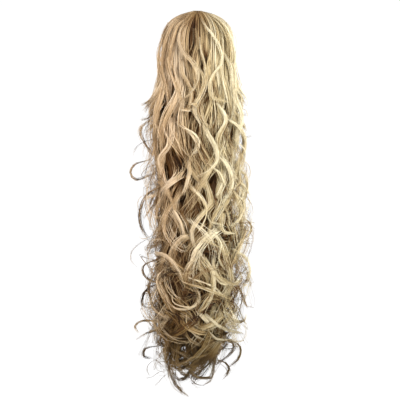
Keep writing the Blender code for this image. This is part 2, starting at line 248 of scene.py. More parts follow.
def hair_outline(z):
    """Half-widths and depths of the fall at height z, as the crown covers its top."""
    if z >= CROWN_HEM:
        return under_crown(z)
    rows = ((CROWN_HEM, *under_crown(CROWN_HEM)), *FALL_SECTIONS)
    for upper, lower in zip(rows, rows[1:]):
        if z >= lower[0]:
            share = (z - upper[0]) / (lower[0] - upper[0])
            return tuple(a + (b - a) * share for a, b in zip(upper[1:], lower[1:]))
    return rows[-1][1:]


def ring_point(outline, turn, z, proud=0.0):
    """The point of an oval outline at a turn in degrees, pushed out by proud."""
    left, right, front, back = outline
    angle = math.radians(turn)
    return Vector((
        (right - left) / 2 + ((left + right) / 2 + proud) * math.sin(angle),
        (back - front) / 2 - ((front + back) / 2 + proud) * math.cos(angle),
        z,
    ))


def outward(turn):
    """The level direction out of the hair at a turn."""
    angle = math.radians(turn)
    return Vector((math.sin(angle), -math.cos(angle), 0.0))


GUIDE_VALUES = ("swing", "wave", "lift", "loop", "spread", "slim", "tone")


def guide_mesh(name, locks):
    """Guide lines for the strand tree. A lock is a list of points, each a dict of place,
    away, and the values that GUIDE_VALUES names."""
    points = [point for lock in locks for point in lock]
    edges = []
    start = 0
    for lock in locks:
        edges += [(start + i, start + i + 1) for i in range(len(lock) - 1)]
        start += len(lock)
    mesh = bpy.data.meshes.new(name)
    mesh.from_pydata([point["place"] for point in points], edges, [])
    away = mesh.attributes.new("away", "FLOAT_VECTOR", "POINT")
    away.data.foreach_set("vector", [part for point in points for part in point["away"]])
    for value in GUIDE_VALUES:
        held = mesh.attributes.new(value, "FLOAT", "POINT")
        held.data.foreach_set("value", [point[value] for point in points])
    return mesh


STRAND_INPUTS = (
    ("Strands", "NodeSocketInt", 20),
    ("Bunch", "NodeSocketInt", 5),
    ("Bunch Share", "NodeSocketFloat", 0.55),
    ("Strand Radius", "NodeSocketFloat", 0.0008),
    ("Flatness", "NodeSocketFloat", 0.5),
    ("Twist", "NodeSocketFloat", 0.4),
    ("Raggedness", "NodeSocketFloat", 0.28),
    ("Depth Share", "NodeSocketFloat", 0.6),
    ("Swing Spread", "NodeSocketFloat", 0.35),
    ("Wave Spread", "NodeSocketFloat", 0.22),
    ("Wander", "NodeSocketFloat", 0.002),
    ("Wander Scale", "NodeSocketFloat", 22.0),
    ("Tone Spread", "NodeSocketFloat", 0.26),
    ("Seed", "NodeSocketInt", 1),
    ("Hair", "NodeSocketMaterial", None),
)
STRAND_SIDES = 3
FULL_TURN = 2 * math.pi

# How a lock's strands lie across it: close in the middle, loose at the edges, and flat.
LOCK_MIDDLE = 0.5
LOCK_EDGES = 0.9
LOCK_FLATNESS = 0.55
LOCK_DEPTH = 0.8
# How far strands differ in thickness, and how their drift grows from root to tip.
RADIUS_SPREAD = 0.35
ROOT_DRIFT = 0.6
DRIFT_GROWTH = 2.4
# How much paler a strand is on the outside of its lock (painted light, with painted shade on the
# inside), on a stripe of its own colour, and on the crest of a wave (painted highlight, with
# painted shade in the troughs).
OUTSIDE_PAINTED_LIGHT = 0.25
STRIPE_TONE = 0.12
CREST_PAINTED_LIGHT = 0.16
STRIPES = 6.5
# The share of a strand's own column of the UV layout that its sides take up.
COLUMN_WIDTH = 0.8


def strand_tree():
    """Fills each guide line with strands that swing with it, and turns them to ribbons."""
    tree = bpy.data.node_groups.new("hair_strands", "GeometryNodeTree")
    tree.interface.new_socket("Guides", in_out="INPUT", socket_type="NodeSocketGeometry")
    for name, kind, default in STRAND_INPUTS:
        socket = tree.interface.new_socket(name, in_out="INPUT", socket_type=kind)
        if default is not None:
            socket.default_value = default
    tree.interface.new_socket("Hair", in_out="OUTPUT", socket_type="NodeSocketGeometry")
    graph = Graph(tree)
    given = graph.node("NodeGroupInput")

    def named(name, kind="FLOAT"):
        return graph.node("GeometryNodeInputNamedAttribute", {"data_type": kind}, {"Name": name})

    def capture(geometry, domain, kind, value):
        made = tree.nodes.new("GeometryNodeCaptureAttribute")
        made.domain = domain
        made.capture_items.new(kind, "Value")
        tree.links.new(geometry.socket, made.inputs["Geometry"])
        tree.links.new(value.socket, made.inputs["Value"])
        return Link(graph, made.outputs["Geometry"]), Link(graph, made.outputs["Value"])

    curves = graph.node("GeometryNodeMeshToCurve", sockets={"Mesh": given.also("Guides")})
    curves = graph.node(
        "GeometryNodeDuplicateElements",
        {"domain": "SPLINE"},
        {"Geometry": curves, "Amount": given.also("Strands")},
    )
    index = graph.node("GeometryNodeInputIndex")
    curves, number = capture(curves, "CURVE", "FLOAT", index)
    bunch = graph.single("FLOOR", (index + 0.5) / given.also("Bunch"))

    def dice(seed_step):
        """Three numbers from -1 to 1 for each strand, partly shared by its bunch."""
        drawn = [
            graph.node(
                "FunctionNodeRandomValue",
                {"data_type": "FLOAT_VECTOR"},
                {
                    "Min": (-1.0, -1.0, -1.0),
                    "Max": (1.0, 1.0, 1.0),
                    "ID": who,
                    "Seed": given.also("Seed") + step,
                },
            )
            for who, step in ((bunch, seed_step), (index, seed_step + 1))
        ]
        shared = given.also("Bunch Share")
        return drawn[0] * shared + drawn[1] * (1 - shared)

    curves, place_dice = capture(curves, "CURVE", "VECTOR", dice(0))
    curves, look_dice = capture(curves, "CURVE", "VECTOR", dice(2))
    along = graph.node("GeometryNodeSplineParameter")
    curves, share = capture(curves, "POINT", "FLOAT", along)

    place = graph.node("ShaderNodeSeparateXYZ", sockets={0: place_dice})
    look = graph.node("ShaderNodeSeparateXYZ", sockets={0: look_dice})
    away = named("away", "FLOAT_VECTOR")
    across = graph.node(
        "ShaderNodeVectorMath", {"operation": "CROSS_PRODUCT"}, {0: (0.0, 0.0, 1.0), 1: away}
    )
    angle = named("swing") + place.also("Z") * given.also("Swing Spread")
    reach = named("wave") * (1 + look.also("X") * given.also("Wave Spread"))
    spread = named("spread")
    twist = named("swing") * given.also("Twist")
    twist_sine = graph.single("SINE", twist)
    twist_cosine = graph.single("COSINE", twist)
    wide = place.also("X") * (LOCK_MIDDLE + place.also("X") * place.also("X") * LOCK_EDGES)
    flat = place.also("Y") * LOCK_FLATNESS
    beside = wide * twist_cosine - flat * twist_sine
    outside = wide * twist_sine + flat * twist_cosine
    sideways = reach * graph.single("SINE", angle) + beside * spread
    crest = graph.single("COSINE", angle)
    turned = reach * crest
    depth = turned * named("lift") * given.also("Depth Share") + outside * spread * LOCK_DEPTH
    drift = graph.node(
        "ShaderNodeTexNoise",
        {"noise_dimensions": "3D"},
        {
            "Vector": graph.node("GeometryNodeInputPosition") + place_dice * 5.0,
            "Scale": given.also("Wander Scale"),
            "Detail": 1.0,
        },
        output="Color",
    )
    drift = graph.node(
        "ShaderNodeVectorMath", {"operation": "SUBTRACT"}, {0: drift, 1: (0.5, 0.5, 0.5)}
    )
    drift = drift * (given.also("Wander") * (ROOT_DRIFT + share * DRIFT_GROWTH))
    rise = graph.node("ShaderNodeCombineXYZ", sockets={"Z": turned * named("loop")})
    curves = graph.node(
        "GeometryNodeSetPosition",
        sockets={"Geometry": curves, "Offset": across * sideways + away * depth + rise + drift},
    )
    uneven = 1 + look.also("Y") * RADIUS_SPREAD
    thickness = given.also("Strand Radius") * named("slim") * uneven
    curves, thickness = capture(curves, "POINT", "FLOAT", thickness)
    curves = graph.node(
        "GeometryNodeSetCurveNormal", {"mode": "FREE"}, {"Curve": curves, "Normal": away}
    )
    stripes = graph.single("SINE", place.also("X") * STRIPES + named("tone") * 40.0)
    tone = named("tone") + look.also("Z") * given.also("Tone Spread")
    # Painted light on the outside of each lock and painted shade on its inside; the stripes are the
    # fibre's own colour.
    tone = tone + outside * OUTSIDE_PAINTED_LIGHT + stripes * STRIPE_TONE
    # Painted highlight where a wave comes out to its crest, painted shade where it turns in.
    tone = tone + crest * named("lift") * CREST_PAINTED_LIGHT
    curves = graph.node(
        "GeometryNodeStoreNamedAttribute",
        {"data_type": "FLOAT", "domain": "POINT"},
        {"Geometry": curves, "Name": "strand_tone_and_painted_light", "Value": tone},
    )
    shortened = graph.single("ABSOLUTE", look.also("X")) * given.also("Raggedness")
    curves = graph.node(
        "GeometryNodeTrimCurve",
        {"mode": "FACTOR"},
        {"Curve": curves, "Start": 0.0, "End": 1 - shortened},
    )
    strand_count = graph.node(
        "GeometryNodeAttributeDomainSize",
        {"component": "CURVE"},
        {0: curves},
        output="Spline Count",
    )

    profile = graph.node(
        "GeometryNodeCurvePrimitiveCircle", sockets={"Resolution": STRAND_SIDES, "Radius": 1.0}
    )
    flatten = graph.node(
        "ShaderNodeCombineXYZ", sockets={"X": given.also("Flatness"), "Y": 1.0, "Z": 1.0}
    )
    profile = graph.node("GeometryNodeTransform", sockets={"Geometry": profile, "Scale": flatten})
    around = graph.node("GeometryNodeSplineParameter")
    profile, round_share = capture(profile, "POINT", "FLOAT", around)
    ribbons = graph.node(
        "GeometryNodeCurveToMesh",
        sockets={"Curve": curves, "Profile Curve": profile, "Scale": thickness, "Fill Caps": True},
    )
    column = 0.5 - 0.5 * graph.single("COSINE", round_share * FULL_TURN)
    column = number + (1 - COLUMN_WIDTH) / 2 + column * COLUMN_WIDTH
    layout = graph.node("ShaderNodeCombineXYZ", sockets={"X": column / strand_count, "Y": share})
    ribbons = graph.node(
        "GeometryNodeStoreNamedAttribute",
        {"data_type": "FLOAT2", "domain": "CORNER"},
        {"Geometry": ribbons, "Name": "UVMap", "Value": layout},
    )
    ribbons = graph.node("GeometryNodeSetShadeSmooth", sockets={"Geometry": ribbons})
    ribbons = graph.node("GeometryNodeRealizeInstances", sockets={"Geometry": ribbons})
    ribbons = graph.node(
        "GeometryNodeSetMaterial", sockets={"Geometry": ribbons, "Material": given.also("Hair")}
    )
    out = tree.nodes.new("NodeGroupOutput")
    tree.links.new(ribbons.socket, out.inputs["Hair"])
    return tree


strand_group = strand_tree()
STRAND_KEYS = {
    item.name: item.identifier
    for item in strand_group.interface.items_tree
    if item.in_out == "INPUT"
}


def put_in_scene(name, data):
    """A new object of the scene that holds a mesh, a lamp or a lens."""
    made = bpy.data.objects.new(name, data)
    bpy.context.scene.collection.objects.link(made)
    return made


def make_hair(name, locks, slot, **inputs):
    """A piece of hair from guide lines, as one plain mesh that rides on the frame."""
    guides = put_in_scene(name + "_guides", guide_mesh(name + "_guides", locks))
    growth = guides.modifiers.new("hair_strands", "NODES")
    growth.node_group = strand_group
    for label, value in inputs.items():
        growth[STRAND_KEYS[label.replace("_", " ").title()]] = value
    graph = bpy.context.evaluated_depsgraph_get()
    mesh = bpy.data.meshes.new_from_object(guides.evaluated_get(graph))
    mesh.name = name
    bpy.data.objects.remove(guides)
    hair = put_in_scene(name, mesh)
    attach(hair, "root")


TAN_LIGHT = colour(241, 217, 185)
TAN_MIDDLE = colour(205, 173, 131)
GOLD_LIGHT = colour(251, 241, 208)
GOLD_MIDDLE = colour(216, 196, 149)
LOWLIGHT = colour(127, 88, 46)
DEEP_BROWN = colour(58, 35, 14)
ROOT_SHADE = colour(190, 175, 158)
TIP_SHADE = colour(178, 160, 112)
END_SHADE = colour(88, 68, 34)
FIBRE_ROUGHNESS = 0.42
FIBRE_SHINE = 0.22
STREAKS_ACROSS = 900.0
STREAKS_ALONG = 9.0
MIDDLE_TONE = 0.45
PARTING_X = -0.006
# Where each change of colour starts and ends: across for the first two, else heights.
TAN_TO_GOLD = (-0.055, 0.045)
PARTING_SIDES = (0.040, 0.008)
PARTING_HEIGHTS = (-0.07, 0.02)
ROOTS = (0.010, 0.048)
BROWNING = (-0.22, -0.56)
DARK_ENDS = (-0.46, -0.57)


def hair_finish(name, tone=None, streaks=2.0):
    """Blonde fibre: brown to pale by the strand's tone, tan on the left, gold on the right,
    greyer at the roots and browner towards the tips, with fine streaks along the fibre."""
    material, graph, shader = new_finish(name, FIBRE_ROUGHNESS)
    place = graph.node("ShaderNodeTexCoord", output="Object")
    parts = graph.node("ShaderNodeSeparateXYZ", sockets={0: place})
    layout = graph.node("ShaderNodeUVMap", {"uv_map": "UVMap"})
    stretch = (STREAKS_ACROSS * streaks, STREAKS_ALONG, 1.0)
    stretched = graph.node("ShaderNodeMapping", sockets={"Vector": layout, "Scale": stretch})
    streak = graph.node(
        "ShaderNodeTexNoise",
        {"noise_dimensions": "2D"},
        {"Vector": stretched, "Scale": 1.0, "Detail": 2.0},
    )
    # The strand tone carries the fibre's own colour and also painted highlights on crests and lock
    # outsides, and painted shade in troughs, lock insides, hollows and deeper layers.
    if tone is None:
        tone = graph.node("ShaderNodeAttribute", {"attribute_name": "strand_tone_and_painted_light"}, output="Fac")
    tone = tone + (streak - 0.5) * 0.5
    height = parts.also("Z")
    side = graph.step(parts.also("X"), *TAN_TO_GOLD)
    tips = graph.step(height + side * 0.08, *BROWNING)
    tone = MIDDLE_TONE + (tone - MIDDLE_TONE) * (0.85 + tips * 0.65)
    light = graph.mix(side, TAN_LIGHT, GOLD_LIGHT)
    middle = graph.mix(side, TAN_MIDDLE, GOLD_MIDDLE)
    body = DEEP_BROWN
    for start, end, shade in ((-0.1, 0.22, LOWLIGHT), (0.15, 0.5, middle), (0.5, 0.95, light)):
        body = graph.mix(graph.step(tone, start, end), body, shade)
    off_middle = graph.single("ABSOLUTE", parts.also("X") - PARTING_X)
    near_parting = graph.step(off_middle, *PARTING_SIDES) * graph.step(height, *PARTING_HEIGHTS)
    roots = graph.step(height, *ROOTS) * 0.5 + near_parting * 0.7
    body = graph.mix(roots, body, ROOT_SHADE, "MULTIPLY")
    tips = tips * (1 - graph.step(tone, 0.5, 1.0) * 0.6)
    body = graph.mix(tips, body, TIP_SHADE, "MULTIPLY")
    ends = graph.step(height, *DARK_ENDS) * 0.7
    body = graph.mix(ends, body, END_SHADE)
    connect(body, shader, "Base Color")
    roughen(shader, streak, strength=0.25, distance=0.0004)
    shader.inputs["Specular IOR Level"].default_value = FIBRE_SHINE
    return material


STEPS_PER_WAVE = 10
TOP_PITCH = 0.165
LOW_PITCH = 0.104
PITCH_TOP = -0.12
PITCH_LOW = -0.46


def wave_pitch(z):
    """The length of one wave of a curl at height z."""
    return TOP_PITCH + (LOW_PITCH - TOP_PITCH) * smooth_share(z, PITCH_TOP, PITCH_LOW)


# The swing of a curl at its root, and what it gains and loses on the way down.
ROOT_REACH = 0.003
TOP_GROWTH = 0.016
LOW_GROWTH = 0.010
TIP_LOSS = 0.010


def wave_reach(z):
    """How far a curl swings to each side at height z. Its swing grows below the crown and
    again in the lower half, and shrinks at the tips."""
    grown = TOP_GROWTH * smooth_share(z, -0.05, -0.22) + LOW_GROWTH * smooth_share(z, -0.3, -0.42)
    return ROOT_REACH + grown - TIP_LOSS * smooth_share(z, -0.52, -0.62)


def shared_swing(turn, layer):
    """Where in its wave a curl at a turn starts, so that neighbours swing together."""
    return 2.2 * math.sin(math.radians(2.3 * turn) + 1.9 * layer) + 2.1 * layer


def shared_pitch(turn, layer):
    """How much longer or shorter than usual the waves of a curl at a turn are."""
    return 1 + 0.2 * math.sin(math.radians(3.1 * turn) + 2.3 * layer)


HOLLOWS = (
    # across, height, half width and half height of each hollow between the curls, where they sink
    # and take painted shade, in mm
    (-8, 16, 8, 26), (17, -36, 6, 13), (-18, -38, 6, 20), (-32, -72, 5, 11), (25, -86, 5, 13),
    (4, -84, 4, 10), (-10, -113, 5, 16), (10, -115, 5, 11), (-54, -121, 5, 9),
    (-34, -228, 13, 25), (-27, -208, 6, 30), (6, -188, 5, 14), (15, -243, 6, 15), (30, -262, 6, 14),
    (6, -280, 6, 12), (-42, -287, 6, 16), (46, -392, 9, 10), (58, -442, 7, 14), (-53, -425, 6, 12),
    (43, -532, 8, 11), (48, -170, 5, 14), (-52, -178, 5, 14), (52, -330, 6, 14), (-62, -330, 6, 16),
    (9, -304, 8, 11), (-11, -317, 6, 12), (32, -193, 6, 16), (-28, -299, 6, 8),
    (-20, -441, 10, 15), (-9, -404, 8, 10), (33, -436, 6, 7), (14, -455, 6, 8),
    (2, -474, 8, 8), (12, -534, 7, 8), (-26, -513, 7, 8), (-33, -544, 7, 9),
)
# How deep the curls sink in a hollow, and how much painted shade darkens them there.
HOLLOW_DEPTH = 0.012
HOLLOW_PAINTED_SHADE = 0.85


def hollow_share(place):
    """How far into a hollow a place on the viewer's side lies, from 0 to 1."""
    if place.y > 0:
        return 0.0
    x, z = place.x * 1000, place.z * 1000
    shares = (
        math.exp(-((x - across) / wide) ** 2 - ((z - height) / tall) ** 2)
        for across, height, wide, tall in HOLLOWS
    )
    return min(sum(shares), 1.0)


def tapered(t, root, full, thinning, loss):
    """A share that grows from root to 1 until full, and loses some again after thinning."""
    return root + (1 - root) * smooth_share(t, 0, full) - loss * smooth_share(t, thinning, 1)


# How deep a curl's root is tucked in, and how strongly its end hooks.
LOCK_TUCK = 0.012
HOOK = 0.4


def hanging_lock(
    turn, tip_turn, top, tip, sunk, reach, spread, tone, swing, hand, loop, flick=0.0, pitch=1.0
):
    """Guide points of one curl. It leaves the mass at height top and hangs to height tip,
    sunk below the outline by sunk, and swings with reach times the usual wave. It coils
    to the side that hand gives, 1 or -1, and rises and dips by loop as it does. Its end
    stands off by flick and curls up into a hook."""
    lock = []
    z = top
    angle = swing
    while True:
        t = min((top - z) / (top - tip), 1.0)
        here = turn + (tip_turn - turn) * t
        rooted = 1 - smooth_share(t, 0.0, 0.22)
        proud = flick * smooth_share(t, 0.55, 1.0) - sunk - LOCK_TUCK * rooted
        hooked = smooth_share(t, 0.6, 1.0)
        # In a hollow the curl sinks, and its tone takes painted shade.
        hollow = hollow_share(ring_point(hair_outline(z), here, z, 0))
        lock.append({
            "place": ring_point(hair_outline(z), here, z, proud - HOLLOW_DEPTH * hollow),
            "away": outward(here),
            "swing": angle,
            "wave": reach * wave_reach(z) * (0.35 + 0.65 * smooth_share(t, 0.0, 0.3)),
            "lift": hand,
            "loop": loop * smooth_share(z, -0.12, -0.36) + math.copysign(HOOK * hooked, loop),
            "spread": spread * tapered(t, root=0.55, full=0.3, thinning=0.55, loss=0.72),
            "slim": tapered(t, root=0.35, full=0.15, thinning=0.6, loss=0.7),
            "tone": tone - HOLLOW_PAINTED_SHADE * hollow,
        })
        if t >= 1.0:
            return lock
        angle += FULL_TURN / STEPS_PER_WAVE
        z = max(z - pitch * (1 - HOOK * hooked) * wave_pitch(z) / STEPS_PER_WAVE, tip)


root_hair = hair_finish("root_hair_fibre")
dice = random.Random(11)
root_locks = []
ROOT_LOCKS = 26
ROOT_STEPS = 14
ROOT_TOP = 0.034
ROOT_END = -0.195
POCKET_FOOT = -0.046
POCKET_HALF_TURN = 42
for i in range(ROOT_LOCKS):
    root_turn = 360 * (i + dice.uniform(-0.3, 0.3)) / ROOT_LOCKS
    root_tone = dice.uniform(0.1, 0.45)
    root_top = POCKET_FOOT if abs(root_turn - 180) < POCKET_HALF_TURN else ROOT_TOP
    lock = []
    for k in range(ROOT_STEPS + 1):
        t = k / ROOT_STEPS
        z = root_top + (ROOT_END - root_top) * t
        lock.append({
            "place": ring_point(hair_outline(z), root_turn, z, -0.001 - 0.004 * t),
            "away": outward(root_turn),
            "swing": 5.0 * t + root_turn,
            "wave": 0.002 + 0.006 * t * t,
            "lift": 1.0,
            "loop": 0.0,
            "spread": 0.014,
            "slim": 1.0 - 0.6 * smooth_share(t, 0.5, 1.0),
            "tone": root_tone,
        })
    root_locks.append(lock)
make_hair(
    "weft_roots", root_locks, "root_hair", strands=16, strand_radius=0.0010, hair=root_hair, seed=3,
    bunch=2, tone_spread=0.35, wander=0.003,
)


def bundle_finish():
    """The sewn root hair inside the pocket, streaked along its height."""
    material, graph, shader = new_finish("sewn_root_hair", 0.6)
    place = graph.node("ShaderNodeTexCoord", output="Object")
    stretch = (420.0, 420.0, 9.0)
    stretched = graph.node("ShaderNodeMapping", sockets={"Vector": place, "Scale": stretch})
    sockets = {"Vector": stretched, "Scale": 1.0, "Detail": 3.0}
    streak = graph.node("ShaderNodeTexNoise", sockets=sockets)
    connect(graph.mix(graph.step(streak, 0.3, 0.7), DEEP_BROWN, LOWLIGHT), shader, "Base Color")
    roughen(shader, streak, strength=0.5, distance=0.0006)
    return material


wear_finish(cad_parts["weft_bundle"], bundle_finish())


# The long fall, the curled tresses below the clip. A dark inner mass keeps light from
# passing through it, its deep brown partly painted shade of the hair's depths; brown
# under-locks, darkened in part with painted shade, cover that; and layers of loose curls
# of uneven length hang round it, each a flattened bunch of fibres that tapers to a wisp.

CORE_SHARE = 0.74
CORE_TURNS = 72
CORE_RINGS = 110
CORE_TOP = -0.040
CORE_END = -0.565
CORE_SWAY = 9
CORE_SWAY_PITCH = 0.085
CORE_GROOVES = (
    # depth of the grooves, how many go round the mass
    (0.004, 12),
    (0.002, 31),
)


def core_point(turn, z):
    """A point of the inner mass, with grooves that sway as its curls do."""
    sway = CORE_SWAY * math.sin(FULL_TURN * z / CORE_SWAY_PITCH) * smooth_share(z, -0.08, -0.2)
    left, right, front, back = hair_outline(z)
    narrow = CORE_SHARE * (1 - 0.85 * smooth_share(z, -0.46, CORE_END))
    outline = (left * narrow, right * narrow, front * narrow, back * narrow)
    groove = sum(depth * math.cos(math.radians(count * turn)) for depth, count in CORE_GROOVES)
    return ring_point(outline, turn + sway, z, groove)


def closed_loft(name, point, turns, heights):
    """A closed mesh through rings of points, with a UV column for each turn."""
    rows = len(heights)
    vertices = [point(360 * k / turns, z) for z in heights for k in range(turns)]
    faces = []
    for r in range(rows - 1):
        for k in range(turns):
            here = r * turns + k
            beside = r * turns + (k + 1) % turns
            faces.append((here, here + turns, beside + turns, beside))
    faces.append(tuple(range(turns)))
    faces.append(tuple(reversed(range((rows - 1) * turns, rows * turns))))
    mesh = bpy.data.meshes.new(name)
    mesh.from_pydata(vertices, [], faces)
    layout = mesh.uv_layers.new(name="UVMap")
    for face in mesh.polygons:
        columns = [mesh.loops[i].vertex_index % turns for i in face.loop_indices]
        wraps = len(columns) == 4 and max(columns) - min(columns) > turns / 2
        for i, column in zip(face.loop_indices, columns):
            row = mesh.loops[i].vertex_index // turns
            u = (column + (turns if wraps and column == 0 else 0)) / turns
            layout.data[i].uv = (u, 1 - row / (rows - 1))
    mesh.shade_smooth()
    return put_in_scene(name, mesh)


heights = [CORE_TOP + (CORE_END - CORE_TOP) * i / (CORE_RINGS - 1) for i in range(CORE_RINGS)]
fall_core = closed_loft("fall_core", core_point, CORE_TURNS, heights)
# The inner mass's deep brown tone is partly painted shade of the hair's depths.
fall_core.data.materials.append(hair_finish("inner_mass_fibre", tone=0.05, streaks=0.5))
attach(fall_core, "root")
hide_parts("long_fall")

# The under-locks' dark tones are partly brown lowlights and partly painted shade of the depths they
# lie in.
under_hair = hair_finish("under_hair_fibre")
dice = random.Random(23)
under_locks = []
UNDER_TIERS = (
    # top, tip, count
    (-0.06, -0.36, 20),
    (-0.24, -0.56, 20),
)
for top, tip, count in UNDER_TIERS:
    for i in range(count):
        turn = 360 * (i + dice.uniform(-0.4, 0.4)) / count - 180
        under_locks.append(hanging_lock(
            turn,
            tip_turn=turn + dice.uniform(-10, 10),
            top=top + dice.uniform(-0.02, 0.02),
            tip=tip + dice.uniform(-0.04, 0.02),
            sunk=0.013,
            reach=dice.uniform(0.5, 0.9),
            spread=0.012,
            tone=dice.uniform(0.05, 0.3),
            swing=shared_swing(turn, 3) + dice.uniform(-1, 1),
            hand=dice.choice((-1, 1)),
            loop=0.3,
            pitch=shared_pitch(turn, 3),
        ))
make_hair(
    "fall_under_locks", under_locks, "mixed_hair",
    strands=9, strand_radius=0.0013, hair=under_hair, seed=5, tone_spread=0.2,
)

fall_hair = hair_finish("curled_hair_fibre")
CURL_SPREAD = 0.0120
EDGE_FLICK = 0.040
EDGE_INSET = 0.012
LOW_LEFT_INSET = 0.006
LOW_RIGHT_INSET = 0.016


def curl_layer(dice, count, turns, tops, tips, sunk, tones, layer):
    """Loose curls spread over a range of turns, with their tops and tips in given ranges.
    At the outline's edges they lie deeper, and some of them flick out."""
    locks = []
    first, last = turns
    for i in range(count):
        turn = first + (last - first) * (i + 0.5 + dice.uniform(-0.4, 0.4)) / count
        top = dice.uniform(*tops)
        tip = dice.uniform(*tips)
        edge = abs(math.sin(math.radians(turn)))
        low = smooth_share(tip, -0.35, -0.5)
        low_inset = LOW_RIGHT_INSET if turn > 0 else LOW_LEFT_INSET
        inset = (EDGE_INSET + low_inset * low) * edge**3
        locks.append(hanging_lock(
            turn,
            tip_turn=turn + dice.uniform(-12, 12),
            top=top,
            tip=tip,
            sunk=sunk + dice.uniform(-0.002, 0.003) + inset,
            reach=dice.uniform(0.45, 1.15),
            spread=CURL_SPREAD * dice.uniform(0.6, 1.3),
            tone=dice.uniform(*tones),
            swing=shared_swing(turn, layer) + dice.uniform(-0.5, 0.5),
            hand=dice.choice((-1, 1)),
            loop=dice.choice((-1, 1)) * dice.uniform(0.5, 1.15),
            flick=EDGE_FLICK * edge * dice.random() ** 2,
            pitch=shared_pitch(turn, layer) * dice.uniform(0.93, 1.07),
        ))
    return locks


TIER_TURNS = 150
# The deeper-sunk tiers take darker tones: partly the brown lowlights of the mix, partly painted
# shade of the hair's depths.
CURL_TIERS = (
    # count in TIER_TURNS, highest top, lowest top, highest tip, lowest tip, sunk, darkest, palest
    (10, -0.050, -0.090, -0.300, -0.420, 0.010, 0.10, 0.50),
    (9, -0.070, -0.130, -0.240, -0.330, 0.004, 0.40, 0.90),
    (9, -0.200, -0.260, -0.430, -0.540, 0.011, -0.10, 0.35),
    (7, -0.230, -0.320, -0.360, -0.470, 0.005, 0.30, 0.85),
    (7, -0.340, -0.420, -0.530, -0.580, 0.009, -0.15, 0.30),
    (5, -0.380, -0.460, -0.490, -0.560, 0.004, 0.20, 0.80),
    (5, -0.430, -0.490, -0.560, -0.592, 0.005, 0.00, 0.55),
)
CURL_SIDES = (
    # name, first turn, last turn, strands, seed
    ("fall_left_curls", -105, -22, 34, 31),
    ("fall_right_curls", 22, 105, 34, 47),
    ("fall_middle_curls", -28, 28, 34, 59),
    ("fall_rear_curls", 100, 260, 14, 71),
)
CURL_RADIUS = 0.0033
for name, first, last, strands, seed in CURL_SIDES:
    dice = random.Random(seed)
    share = (last - first) / TIER_TURNS
    locks = []
    for layer, (count, top, low_top, tip, low_tip, sunk, dark, pale) in enumerate(CURL_TIERS):
        locks += curl_layer(
            dice, max(2, round(count * share)), (first, last), (low_top, top), (low_tip, tip),
            sunk, (dark, pale), layer,
        )
    make_hair(
        name, locks, "mixed_hair", strands=strands, strand_radius=CURL_RADIUS / math.sqrt(strands),
        hair=fall_hair, seed=seed,
    )


# The face curls, the loose tresses that lie in front of the fall and give it its drawing:
# long S bends below the crown, open rings in the lower half, and flicked ends.

